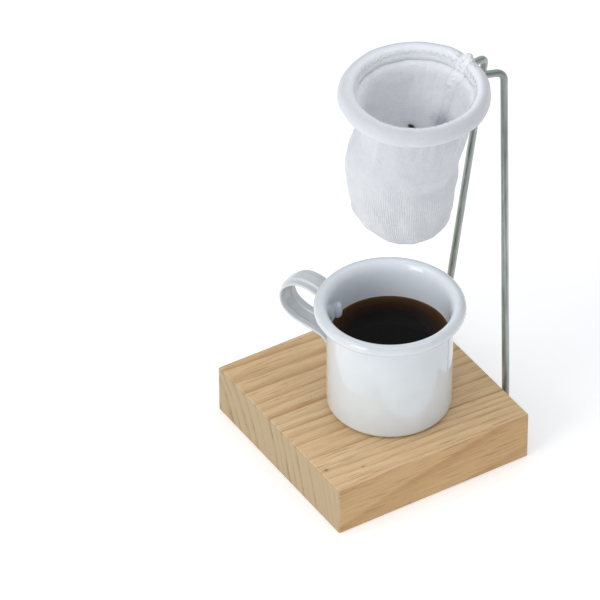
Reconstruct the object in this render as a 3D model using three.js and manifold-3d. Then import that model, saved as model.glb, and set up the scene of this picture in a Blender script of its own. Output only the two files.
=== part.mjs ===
// A single-serving cloth pour-over coffee set. A bent-wire stand plugs into the back of a pine
// block and carries a knitted cotton filter, sewn round the stand's ring, over an enamelled mug.
// Millimetres, +Z up. The origin is the centre of the block's underside, and the stand is at +Y.

import * as THREE from 'three';
import { mergeVertices } from 'three/addons/utils/BufferGeometryUtils.js';
import { RoundedBoxGeometry } from 'three/addons/geometries/RoundedBoxGeometry.js';
import Module from 'manifold-3d';

const wasm = await Module();
wasm.setup();

const GAP = 0.3;

// The pine block.
const BLOCK_WIDTH = 92;
const BLOCK_DEPTH = 90;
const BLOCK_HEIGHT = 22;
const BLOCK_EDGE_RADIUS = 0.8;

// The stand: one length of galvanised wire. Its feet plug into holes in the block's back face, its
// legs lean back and close up towards the top, and the wire's middle is bent into the filter's ring.
const WIRE_RADIUS = 1.5;
const WIRE_BEND_RADIUS = 3.4;
const FOOT_Z = 11;
const FOOT_DEPTH = 16;
const FOOT_HALF_SPREAD = 24.3;
const LEG_FOOT_Y = BLOCK_DEPTH / 2 + WIRE_BEND_RADIUS;
const SHOULDER_Y = 56;
const SHOULDER_HALF_SPREAD = 6.7;
const LEFT_SHOULDER_Z = 161.7;
const RIGHT_SHOULDER_Z = 163;
const RING_RADIUS = 26.4;
const RING_CENTRE = new THREE.Vector3(0, 19, 162.8);
const RING_SLOPE_X = -0.045;
const RING_SLOPE_Y = 0.03;
const RING_MOUTH_ANGLE = THREE.MathUtils.degToRad(15);

// The hem: a stuffed-looking casing of cloth round the ring.
const HEM_HALF_THICKNESS = 3.4;
const HEM_HALF_HEIGHT = 3.8;

// The bag below the hem, given as half of its outline: radius and height above the block's underside.
const CLOTH_THICKNESS = 1.2;
const BAG_OUTLINE = [[0, 97.9], [8.5, 98.4], [15, 101.3], [18.9, 107.3], [21, 117], [22.2, 132],
  [22.6, 146], [24, 158.4]];
const BAG_LEAN = 5.4;
const BAG_LEAN_HEIGHT = 26;
const BAG_RETURN = 2.2;
const BAG_RETURN_Z = 113;

// The seam that closes the filter runs over the hem and down the inside of the bag.
const SEAM_ANGLE = THREE.MathUtils.degToRad(98);
const SEAM_WIDTH = 4;
const SEAM_THICKNESS = 0.9;
const SEAM_END_Z = 108;

// Zigzag stitches along the hem's inner side.
const THREAD_RADIUS = 0.25;
const STITCH_COUNT = 52;
const STITCH_HALF_HEIGHT = 1.1;
const STITCH_RISE = 1.7;

// The mug.
const MUG_X = 8.2;
const MUG_Y = 2.7;
const MUG_RADIUS = 25.3;
const MUG_WALL = 1.1;
const MUG_CORNER_RADIUS = 2;
const MUG_BOTTOM_Z = BLOCK_HEIGHT + GAP;
const RIM_RADIUS = 27.9;
const RIM_ROLL_RADIUS = 2.5;
const RIM_Z = 69.6;
const FLARE_START_Z = 61.5;
const COFFEE_LEVEL_Z = 56;

// The mug's handle: a grooved steel strip bent into a loop, with a tab at each end on the mug's wall.
const HANDLE_ANGLE = THREE.MathUtils.degToRad(-153);
const HANDLE_WIDTH = 11;
const HANDLE_THICKNESS = 1.1;
const HANDLE_RIB_WIDTH = 4.6;
const HANDLE_RIB_RISE = 0.7;
const TAB_X = MUG_RADIUS + GAP + HANDLE_THICKNESS / 2;
const UPPER_RIVET_Z = 57.6;
const LOWER_RIVET_Z = 40.5;
const RIVET_RADIUS = 0.9;
const RIVET_HEAD_RADIUS = 2.1;
const RIVET_HEAD_RISE = 1.5;
const RIVET_OBLONG = 1.8;

const COLOURS = {
  pine: { color: 0xd9b988, roughness: 0.75, metalness: 0 },
  wire: { color: 0x8f9692, roughness: 0.45, metalness: 0.9 },
  cloth: { color: 0xe6e8ee, roughness: 0.95, metalness: 0 },
  thread: { color: 0xf2f3f6, roughness: 0.9, metalness: 0 },
  enamel: { color: 0xe4e9eb, roughness: 0.15, metalness: 0 },
  coffee: { color: 0x140a06, roughness: 0.05, metalness: 0 },
};

const group = new THREE.Group();

// A closed mesh whose shared vertices are merged, with positions only.
function merged(geometry) {
  const plain = geometry.clone();
  plain.deleteAttribute('normal');
  plain.deleteAttribute('uv');
  return mergeVertices(plain, 1e-4);
}

function toSolid(geometry) {
  const shape = merged(geometry);
  const vertProperties = new Float32Array(shape.attributes.position.array);
  const triVerts = new Uint32Array(shape.index.array);
  return new wasm.Manifold(new wasm.Mesh({ numProp: 3, vertProperties, triVerts }));
}

function toGeometry(solid) {
  const mesh = solid.getMesh();
  const geometry = new THREE.BufferGeometry();
  geometry.setAttribute('position', new THREE.BufferAttribute(mesh.vertProperties, 3));
  geometry.setIndex(new THREE.BufferAttribute(mesh.triVerts, 1));
  return geometry;
}

function cut(geometry, ...tools) {
  let solid = toSolid(geometry);
  for (const tool of tools) {
    solid = solid.subtract(toSolid(tool));
  }
  return toGeometry(solid);
}

function addPiece(name, geometry, colour, place = new THREE.Vector3(), turn = 0) {
  const shape = merged(geometry);
  shape.computeVertexNormals();
  const mesh = new THREE.Mesh(shape, new THREE.MeshStandardMaterial(COLOURS[colour]));
  mesh.name = name;
  mesh.position.copy(place);
  mesh.rotation.z = turn;
  group.add(mesh);
}

// A path through given points, which keeps every one of them when it is divided evenly.
class PointPath extends THREE.Curve {
  constructor(points) {
    super();
    this.points = points;
  }

  getPoint(t) {
    const place = t * (this.points.length - 1);
    const index = THREE.MathUtils.clamp(Math.floor(place), 0, this.points.length - 2);
    return this.points[index].clone().lerp(this.points[index + 1], place - index);
  }

  getPointAt(u) {
    return this.getPoint(u);
  }

  getTangentAt(u) {
    return this.getTangent(u);
  }
}

function sweep(section, points, curveSegments = 5) {
  const extrudePath = new PointPath(points);
  return new THREE.ExtrudeGeometry(section, {
    steps: points.length - 1, curveSegments, bevelEnabled: false, extrudePath,
  });
}

function circle(radius) {
  return new THREE.Shape().absarc(0, 0, radius, 0, 2 * Math.PI);
}

// The points of a bend of the given radius, at a corner between two other points.
function bend(before, corner, after, radius, steps = 5) {
  const back = before.clone().sub(corner).normalize();
  const ahead = after.clone().sub(corner).normalize();
  const halfAngle = back.angleTo(ahead) / 2;
  const centre = back.clone().add(ahead).setLength(radius / Math.sin(halfAngle)).add(corner);
  const arm = back.clone().multiplyScalar(radius / Math.tan(halfAngle)).add(corner).sub(centre);
  const axis = ahead.clone().cross(back).normalize();
  const turn = Math.PI - 2 * halfAngle;
  const points = [];
  for (let step = 0; step <= steps; step += 1) {
    points.push(arm.clone().applyAxisAngle(axis, turn * step / steps).add(centre));
  }
  return points;
}

// A profile of radius and height, spun round the vertical axis.
function lathe(profile, segments) {
  return new THREE.LatheGeometry(profile, segments).rotateX(Math.PI / 2);
}

// ---------- The block ----------

const footHole = new THREE.CylinderGeometry(WIRE_RADIUS + GAP, WIRE_RADIUS + GAP, 2 * FOOT_DEPTH + 2, 16);

function footHoleAt(side) {
  return footHole.clone().translate(side * FOOT_HALF_SPREAD, BLOCK_DEPTH / 2, FOOT_Z);
}

const block = new RoundedBoxGeometry(BLOCK_WIDTH, BLOCK_DEPTH, BLOCK_HEIGHT, 2, BLOCK_EDGE_RADIUS)
  .translate(0, 0, BLOCK_HEIGHT / 2);
addPiece('wood_base', cut(block, footHoleAt(-1), footHoleAt(1)), 'pine');

// ---------- The stand ----------

// How far the ring's plane is above or below its centre, at a place across and back from that centre.
function slope(x, y) {
  return x * RING_SLOPE_X + y * RING_SLOPE_Y;
}

function ringPoint(angle) {
  const x = RING_RADIUS * Math.cos(angle);
  const y = RING_RADIUS * Math.sin(angle);
  return new THREE.Vector3(x, y, slope(x, y)).add(RING_CENTRE);
}

// One leg from its foot's tip to where it joins the ring. side is -1 on the left and 1 on the right.
function legPoints(side) {
  const footX = side * FOOT_HALF_SPREAD;
  const tip = new THREE.Vector3(footX, BLOCK_DEPTH / 2 - FOOT_DEPTH + GAP, FOOT_Z);
  const heel = new THREE.Vector3(footX, LEG_FOOT_Y, FOOT_Z);
  const shoulderZ = side < 0 ? LEFT_SHOULDER_Z : RIGHT_SHOULDER_Z;
  const shoulder = new THREE.Vector3(side * SHOULDER_HALF_SPREAD, SHOULDER_Y, shoulderZ);
  const ringAngle = Math.PI / 2 - side * RING_MOUTH_ANGLE;
  const ringStart = ringPoint(ringAngle);
  const alongRing = new THREE.Vector3(Math.sin(ringAngle), -Math.cos(ringAngle), 0);
  alongRing.z = slope(alongRing.x, alongRing.y);
  const neck = ringStart.clone().addScaledVector(alongRing, -side * WIRE_BEND_RADIUS);
  return [
    tip,
    ...bend(tip, heel, shoulder, WIRE_BEND_RADIUS),
    ...bend(heel, shoulder, neck, WIRE_BEND_RADIUS),
    ...bend(shoulder, neck, ringStart, WIRE_BEND_RADIUS * 0.7),
  ];
}

function wirePoints() {
  const start = Math.PI / 2 + RING_MOUTH_ANGLE;
  const arc = 2 * (Math.PI - RING_MOUTH_ANGLE);
  const steps = 40;
  const ring = [];
  for (let step = 0; step <= steps; step += 1) {
    ring.push(ringPoint(start + arc * step / steps));
  }
  return [...legPoints(-1), ...ring, ...legPoints(1).reverse()];
}

const wire = wirePoints();
addPiece('stand_wire', sweep(circle(WIRE_RADIUS), wire), 'wire');

// ---------- The filter ----------

// The filter's shapes are made round the ring's upright axis, and then moved to it.
const FILTER_PLACE = new THREE.Vector3(RING_CENTRE.x, RING_CENTRE.y, 0);
const bagOutline = new THREE.SplineCurve(BAG_OUTLINE.map(([radius, z]) => new THREE.Vector2(radius, z)));
const BAG_TOP_Z = BAG_OUTLINE.at(-1)[1];
const BAG_BOTTOM_Z = BAG_OUTLINE[0][1];

// How far back the bag has moved at a height. It hangs forwards, and its bottom falls back again.
function lean(z) {
  const { smoothstep } = THREE.MathUtils;
  const forwards = BAG_LEAN * smoothstep(BAG_TOP_Z - z, 0, BAG_LEAN_HEIGHT);
  const back = BAG_RETURN * smoothstep(BAG_RETURN_Z - z, 0, BAG_RETURN_Z - BAG_BOTTOM_Z);
  return back - forwards;
}

// The hem lies in the ring's sloping plane, and the bag's mouth with it. The bag's bottom is level.
function slant(geometry) {
  const position = geometry.attributes.position;
  for (let index = 0; index < position.count; index += 1) {
    const z = position.getZ(index);
    const share = THREE.MathUtils.smoothstep(z, BAG_BOTTOM_Z, BAG_TOP_Z);
    position.setZ(index, z + share * slope(position.getX(index), position.getY(index)));
  }
  return geometry;
}

// The bag's half outline, moved inwards by the given distance.
function insetOutline(distance, count) {
  const points = [];
  for (let step = 0; step <= count; step += 1) {
    const tangent = bagOutline.getTangent(step / count);
    const normal = new THREE.Vector2(-tangent.y, tangent.x);
    points.push(bagOutline.getPoint(step / count).addScaledVector(normal, distance));
  }
  points[0].x = 0;
  points.at(-1).y = BAG_TOP_Z;
  return points;
}

function makeBag() {
  const outside = insetOutline(0, 14);
  const inside = insetOutline(CLOTH_THICKNESS, 14).reverse();
  const bag = lathe([...outside, ...inside], 40);
  const position = bag.attributes.position;
  for (let index = 0; index < position.count; index += 1) {
    position.setY(index, position.getY(index) + lean(position.getZ(index)));
  }
  return slant(bag);
}

addPiece('filter_bag', makeBag(), 'cloth', FILTER_PLACE);

const hemSection = new THREE.EllipseCurve(RING_RADIUS, RING_CENTRE.z, HEM_HALF_THICKNESS, HEM_HALF_HEIGHT);
const hem = slant(lathe(hemSection.getPoints(16), 48)).translate(...FILTER_PLACE);
addPiece('filter_hem', cut(hem, sweep(circle(WIRE_RADIUS + GAP), wire)), 'cloth');

// The seam lies in an upright plane through the ring's centre. It starts on top of the hem.
function makeSeam() {
  const rise = GAP + SEAM_THICKNESS / 2;
  const overHem = new THREE.EllipseCurve(
    RING_RADIUS, RING_CENTRE.z, HEM_HALF_THICKNESS + rise, HEM_HALF_HEIGHT + rise, Math.PI / 4, Math.PI,
  );
  const downBag = insetOutline(CLOTH_THICKNESS + 2 * rise, 14).reverse()
    .filter((point) => point.y > SEAM_END_Z)
    .map((point) => new THREE.Vector2(point.x + lean(point.y), point.y));
  const points = [...overHem.getPoints(8), ...downBag].map(({ x, y }) => new THREE.Vector3(x, 0, y));
  const half = { across: SEAM_WIDTH / 2, through: SEAM_THICKNESS / 2 };
  const section = new THREE.Shape([
    new THREE.Vector2(-half.across, -half.through), new THREE.Vector2(half.across, -half.through),
    new THREE.Vector2(half.across, half.through), new THREE.Vector2(-half.across, half.through),
  ]);
  return slant(sweep(section, points).rotateZ(SEAM_ANGLE));
}

addPiece('back_seam', makeSeam(), 'cloth', FILTER_PLACE);

function makeStitching() {
  const spare = THREE.MathUtils.degToRad(9);
  const points = [];
  for (let stitch = 0; stitch <= STITCH_COUNT; stitch += 1) {
    const angle = SEAM_ANGLE + spare + (2 * Math.PI - 2 * spare) * stitch / STITCH_COUNT;
    const rise = STITCH_RISE + (stitch % 2 ? STITCH_HALF_HEIGHT : -STITCH_HALF_HEIGHT);
    const bulge = HEM_HALF_THICKNESS * Math.sqrt(1 - (rise / HEM_HALF_HEIGHT) ** 2);
    const radius = RING_RADIUS - bulge - GAP - THREAD_RADIUS;
    points.push(new THREE.Vector3(radius * Math.cos(angle), radius * Math.sin(angle), RING_CENTRE.z + rise));
  }
  return slant(sweep(circle(THREAD_RADIUS), points, 2));
}

addPiece('hem_stitching', makeStitching(), 'thread', FILTER_PLACE);

// ---------- The mug ----------

const MUG_PLACE = new THREE.Vector3(MUG_X, MUG_Y, 0);

function arc(x, y, radius, fromDegrees, toDegrees, steps) {
  const { degToRad } = THREE.MathUtils;
  const clockwise = toDegrees < fromDegrees;
  const curve = new THREE.EllipseCurve(
    x, y, radius, radius, degToRad(fromDegrees), degToRad(toDegrees), clockwise,
  );
  return curve.getPoints(steps);
}

function makeMugWall() {
  const inner = MUG_RADIUS - MUG_WALL;
  const corner = MUG_RADIUS - MUG_CORNER_RADIUS;
  const floorZ = MUG_BOTTOM_Z + MUG_WALL;
  const flare = new THREE.QuadraticBezierCurve(
    new THREE.Vector2(MUG_RADIUS, FLARE_START_Z),
    new THREE.Vector2(MUG_RADIUS, RIM_Z - RIM_ROLL_RADIUS),
    new THREE.Vector2(RIM_RADIUS - RIM_ROLL_RADIUS * 0.5, RIM_Z - RIM_ROLL_RADIUS * 0.87),
  );
  const innerFlare = new THREE.QuadraticBezierCurve(
    new THREE.Vector2(RIM_RADIUS - RIM_ROLL_RADIUS, RIM_Z),
    new THREE.Vector2(inner, RIM_Z - RIM_ROLL_RADIUS),
    new THREE.Vector2(inner, FLARE_START_Z),
  );
  return lathe([
    new THREE.Vector2(0, MUG_BOTTOM_Z),
    ...arc(corner, MUG_BOTTOM_Z + MUG_CORNER_RADIUS, MUG_CORNER_RADIUS, -90, 0, 4),
    ...flare.getPoints(4),
    ...arc(RIM_RADIUS, RIM_Z, RIM_ROLL_RADIUS, -100, 180, 14),
    ...innerFlare.getPoints(4).slice(1),
    ...arc(corner, floorZ + MUG_CORNER_RADIUS - MUG_WALL, inner - corner, 0, -90, 3),
    new THREE.Vector2(0, floorZ),
  ], 48);
}

// A rivet's shank and its hole are this much taller than wide, and so are its heads.
function makeRivetHole(z) {
  const radius = RIVET_RADIUS + GAP;
  return new THREE.CylinderGeometry(radius, radius, 8, 12)
    .rotateZ(-Math.PI / 2)
    .scale(1, 1, RIVET_OBLONG)
    .translate(MUG_RADIUS, 0, z);
}

const rivetHoles = [UPPER_RIVET_Z, LOWER_RIVET_Z].map((z) => makeRivetHole(z).rotateZ(HANDLE_ANGLE));
addPiece('mug_body', cut(makeMugWall(), ...rivetHoles), 'enamel', MUG_PLACE);

// The handle's strip, seen end on: a flat band with a rib along its middle, raised on the outside.
function handleSection() {
  const half = HANDLE_WIDTH / 2;
  const rib = HANDLE_RIB_WIDTH / 2;
  const face = [[half, 0], [rib + HANDLE_RIB_RISE, 0], [rib, -HANDLE_RIB_RISE], [-rib, -HANDLE_RIB_RISE],
    [-rib - HANDLE_RIB_RISE, 0], [-half, 0]];
  const over = face.map(([x, y]) => new THREE.Vector2(x, y + HANDLE_THICKNESS / 2));
  const under = face.map(([x, y]) => new THREE.Vector2(x, y - HANDLE_THICKNESS / 2)).reverse();
  return new THREE.Shape([...over, ...under]);
}

// The strip's middle line, in the upright plane through the mug's axis: distance out, and height.
const HANDLE_LINE = [[TAB_X, 54], [TAB_X, 61.5], [27.8, 65], [31.5, 66.4], [36, 67.8], [40.5, 67.6],
  [44, 65.6], [46.7, 62.3], [47.2, 58.3], [45.6, 54], [41.5, 50.7], [35, 48.6], [29, 46.7], [TAB_X, 43.6],
  [TAB_X, 37]];
const handleCurve = new THREE.CatmullRomCurve3(HANDLE_LINE.map(([x, z]) => new THREE.Vector3(x, 0, z)));
const handle = sweep(handleSection(), handleCurve.getPoints(40));

// A rivet through the mug's wall and the handle's tab, with a domed oblong head at each end. Spare
// is how much larger than the rivet the shape is.
function makeRivet(z, spare = 0) {
  const inside = MUG_RADIUS - MUG_WALL - GAP;
  const outside = TAB_X + HANDLE_THICKNESS / 2 + GAP;
  const head = RIVET_HEAD_RADIUS + spare;
  const rise = RIVET_HEAD_RISE + spare;
  const dome = new THREE.EllipseCurve(0, 0, head, rise, 0, Math.PI / 2).getPoints(4);
  return lathe([
    ...dome.map(({ x, y }) => new THREE.Vector2(x, inside - y)).reverse(),
    new THREE.Vector2(RIVET_RADIUS + spare, inside),
    new THREE.Vector2(RIVET_RADIUS + spare, outside),
    ...dome.map(({ x, y }) => new THREE.Vector2(x, outside + y)),
  ], 12).rotateY(Math.PI / 2).scale(1, 1, RIVET_OBLONG).translate(0, 0, z);
}

const mugSpace = new THREE.CylinderGeometry(MUG_RADIUS + GAP, MUG_RADIUS + GAP, 100, 48)
  .rotateX(Math.PI / 2).translate(0, 0, RIM_Z);
const rivetSpaces = [UPPER_RIVET_Z, LOWER_RIVET_Z].map((z) => makeRivet(z, GAP));
addPiece('mug_handle', cut(handle, mugSpace, ...rivetSpaces), 'enamel', MUG_PLACE, HANDLE_ANGLE);
addPiece('handle_rivet_upper', makeRivet(UPPER_RIVET_Z), 'enamel', MUG_PLACE, HANDLE_ANGLE);
addPiece('handle_rivet_lower', makeRivet(LOWER_RIVET_Z), 'enamel', MUG_PLACE, HANDLE_ANGLE);

function makeCoffee() {
  const radius = MUG_RADIUS - MUG_WALL - GAP;
  const floorZ = MUG_BOTTOM_Z + MUG_WALL + GAP;
  return lathe([
    new THREE.Vector2(0, floorZ),
    new THREE.Vector2(radius - MUG_CORNER_RADIUS, floorZ),
    new THREE.Vector2(radius, floorZ + MUG_CORNER_RADIUS),
    new THREE.Vector2(radius, COFFEE_LEVEL_Z),
    new THREE.Vector2(0, COFFEE_LEVEL_Z),
  ], 40);
}

const turnedRivetSpaces = rivetSpaces.map((space) => space.clone().rotateZ(HANDLE_ANGLE));
addPiece('coffee', cut(makeCoffee(), ...turnedRivetSpaces), 'coffee', MUG_PLACE);

export default group;
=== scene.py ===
"""Looks of the cloth pour-over set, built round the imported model.

The frame is the model's own: +Z up, the stand at +Y, the origin at the centre of the block's
underside. Dimensions are in millimetres here, and become metres when a mesh is made.
"""
import math

import bmesh
import bpy
import numpy as np
from mathutils import Matrix, Vector, noise


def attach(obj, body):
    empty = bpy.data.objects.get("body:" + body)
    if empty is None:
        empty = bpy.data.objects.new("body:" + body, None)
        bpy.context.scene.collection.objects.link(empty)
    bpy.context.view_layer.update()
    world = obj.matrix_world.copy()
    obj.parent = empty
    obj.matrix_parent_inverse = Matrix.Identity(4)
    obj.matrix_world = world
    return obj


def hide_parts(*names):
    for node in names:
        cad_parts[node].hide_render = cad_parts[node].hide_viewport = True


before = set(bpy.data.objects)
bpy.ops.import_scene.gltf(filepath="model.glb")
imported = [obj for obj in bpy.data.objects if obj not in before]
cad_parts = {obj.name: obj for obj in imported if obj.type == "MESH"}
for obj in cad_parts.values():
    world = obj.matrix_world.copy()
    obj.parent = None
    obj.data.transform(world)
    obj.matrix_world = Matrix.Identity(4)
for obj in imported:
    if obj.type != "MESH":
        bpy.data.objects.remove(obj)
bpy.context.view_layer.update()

MM = 0.001
TAU = 2 * math.pi

# The block. Its growth rings are centred on a line along Y, outside it and below its left side.
BLOCK_TOP = 22.0
PITH_X = -93.0
PITH_Z = -29.0

# Pin knots: two in the block's top and a speck beside them in its edge. X, Y, Z and size.
KNOTS = ((32.0, -42.2, BLOCK_TOP, 0.42), (38.0, -28.7, BLOCK_TOP, 0.25), (46.0, -38.2, 20.8, 0.16))

# The stand's wire.
WIRE_RADIUS = 1.5
WIRE_BEND_RADIUS = 3.4
FOOT_Z = 11.0
FOOT_TIP_Y = 29.3
FOOT_HALF_SPREAD = 24.3
LEG_FOOT_Y = 48.4
SHOULDER_Y = 56.0
SHOULDER_HALF_SPREAD = 6.7
SHOULDER_Z = {-1: 161.7, 1: 163.0}
RING_RADIUS = 26.4
RING_CENTRE = np.array([0.0, 19.0, 162.8])
RING_SLOPE = np.array([-0.045, 0.03])
RING_MOUTH = math.radians(15)

# The filter.
HEM_HALF_THICKNESS = 3.4
HEM_HALF_HEIGHT = 3.8
BAG_TOP = 158.4
BAG_BOTTOM = 98.4
CLOTH_THICKNESS = 0.9
SEAM_ANGLE = math.radians(98)
SEAM_TOP = 159.6
SEAM_BOTTOM = 108.0
BAG_AXIS = (0.0, 16.0)
# A small dark spot inside the bag: X, Y and Z.
DARK_SPOT = (-15.4, 27.6, 134.1)
# The centre of a patch of painted shade inside the bag, for a fold's shadow.
SHADE_PATCH = (-3.5, 35.3, 139.0)

# The mug.
MUG_CENTRE = np.array([8.2, 2.7])
MUG_RADIUS = 25.3
MUG_WALL = 1.1
MUG_CORNER = 2.0
MUG_BOTTOM = 22.3
RIM_RADIUS = 27.9
RIM_ROLL = 2.5
RIM_Z = 69.6
COFFEE_LEVEL = 55.5
HANDLE_ANGLE = math.radians(-153)
HANDLE_WIDTH = 11.0
HANDLE_THICKNESS = 1.1
HANDLE_CLEARANCE = 0.3
RIB_WIDTH = 4.6
RIB_RISE = 0.85
RIVET_HEIGHTS = {"upper": 57.6, "lower": 40.5}


# ---------- Numbers ----------

def smooth(low, high, value):
    t = np.clip((np.asarray(value, float) - low) / (high - low), 0, 1)
    return t * t * (3 - 2 * t)


def turned(angle):
    """The angle brought to within half a turn of zero."""
    return (np.asarray(angle) + math.pi) % TAU - math.pi


def bump(value, centre, spread):
    return np.exp(-((np.asarray(value, float) - centre) / spread) ** 2)


def bump_at(angle, centre_degrees, spread_degrees):
    return np.exp(-(turned(angle - math.radians(centre_degrees)) / math.radians(spread_degrees)) ** 2)


def ripple(x, y, z):
    return noise.noise(Vector((x, y, z)))


# ---------- Meshes ----------

def add_mesh(name, points, faces, material, coords=None, merge=False):
    """A smooth-shaded mesh of points in millimetres. coords is one (along, across) pair for each face corner,
    in millimetres, which the materials read to lay their weave and streaks."""
    mesh = bpy.data.meshes.new(name)
    mesh.from_pydata([tuple(p * MM) for p in points], [], faces)
    if coords is not None:
        layer = mesh.attributes.new("lay", "FLOAT_VECTOR", "CORNER")
        flat = np.zeros((len(mesh.loops), 3), np.float32)
        flat[:, :2] = coords
        layer.data.foreach_set("vector", flat.ravel())
    build = bmesh.new()
    build.from_mesh(mesh)
    if merge:
        bmesh.ops.remove_doubles(build, verts=build.verts, dist=1e-7)
    bmesh.ops.recalc_face_normals(build, faces=build.faces)
    build.to_mesh(mesh)
    build.free()
    mesh.polygons.foreach_set("use_smooth", [True] * len(mesh.polygons))
    mesh.materials.append(material)
    obj = bpy.data.objects.new(name, mesh)
    bpy.context.scene.collection.objects.link(obj)
    return obj


def grid_mesh(name, grid, material, wrap_rows=False, wrap_columns=True, lay=None, caps=False, merge=False):
    """A mesh over rows and columns of points. lay is a same-sized grid of (along, across), with one more row or
    column where the grid wraps."""
    rows, columns = grid.shape[:2]
    points = grid.reshape(-1, 3)
    faces, coords = [], []
    for i in range(rows if wrap_rows else rows - 1):
        for j in range(columns if wrap_columns else columns - 1):
            corners = [(i, j), (i, j + 1), (i + 1, j + 1), (i + 1, j)]
            faces.append([(a % rows) * columns + b % columns for a, b in corners])
            if lay is not None:
                coords += [lay[a, b] for a, b in corners]
    if caps:
        faces.append([j for j in range(columns)][::-1])
        faces.append([(rows - 1) * columns + j for j in range(columns)])
        if lay is not None:
            coords += [lay[0, j] for j in range(columns)][::-1]
            coords += [lay[rows - 1, j] for j in range(columns)]
    return add_mesh(name, points, faces, material, None if lay is None else np.array(coords), merge)


def lathe(name, profile, columns, material, centre, shape=None):
    """A (radius, height) profile spun round an upright axis. shape may move the grid's points."""
    angles = np.arange(columns) * TAU / columns
    radius, height = np.array(profile).T
    grid = np.stack([radius[:, None] * np.cos(angles) + centre[0], radius[:, None] * np.sin(angles) + centre[1],
                     np.repeat(height[:, None], columns, 1)], -1)
    if shape:
        grid = shape(grid, angles)
    return grid_mesh(name, grid, material, merge=True)


def arc(x, y, radius, start, end, steps):
    angles = np.radians(np.linspace(start, end, steps + 1))
    return [(x + radius * math.cos(a), y + radius * math.sin(a)) for a in angles]


def curve_through(points, count):
    """A smooth line of count points through the given ones (Catmull-Rom), evenly spread along its length."""
    p = np.array([2 * np.array(points[0]) - points[1], *points, 2 * np.array(points[-1]) - points[-2]], float)
    fine = []
    for k in range(1, len(p) - 2):
        for t in np.linspace(0, 1, 24, endpoint=False):
            a, b, c, d = p[k - 1:k + 3]
            fine.append(0.5 * (2 * b + (c - a) * t + (2 * a - 5 * b + 4 * c - d) * t * t
                               + (3 * b - a - 3 * c + d) * t ** 3))
    fine = np.array([*fine, p[-2]])
    length = np.concatenate([[0], np.cumsum(np.linalg.norm(np.diff(fine, axis=0), axis=1))])
    at = np.linspace(0, length[-1], count)
    return np.stack([np.interp(at, length, fine[:, k]) for k in range(fine.shape[1])], 1)


def frames(path):
    """Unit tangents, and two unit normals that turn as little as they can along the path."""
    tangent = np.gradient(path, axis=0)
    tangent /= np.linalg.norm(tangent, axis=1, keepdims=True)
    first = np.cross(tangent[0], [0, 0, 1.0])
    if np.linalg.norm(first) < 0.1:
        first = np.cross(tangent[0], [1.0, 0, 0])
    normals = [first / np.linalg.norm(first)]
    for t in tangent[1:]:
        n = normals[-1] - t * np.dot(normals[-1], t)
        normals.append(n / np.linalg.norm(n))
    normals = np.array(normals)
    return tangent, normals, np.cross(tangent, normals)


def tube_grid(path, radius, sides):
    """Points round a path, and their (along, across) lay in millimetres. radius may vary along the path."""
    tangent, n, b = frames(path)
    angles = np.arange(sides) * TAU / sides
    radius = np.broadcast_to(np.asarray(radius, float), (len(path),))
    ring = np.cos(angles)[None, :, None] * n[:, None] + np.sin(angles)[None, :, None] * b[:, None]
    grid = path[:, None] + radius[:, None, None] * ring
    along = np.concatenate([[0], np.cumsum(np.linalg.norm(np.diff(path, axis=0), axis=1))])
    across = np.arange(sides + 1) * TAU / sides * radius.mean()
    lay = np.stack(np.broadcast_arrays(along[:, None], across[None]), -1)
    return grid, lay


# ---------- Materials ----------

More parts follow.
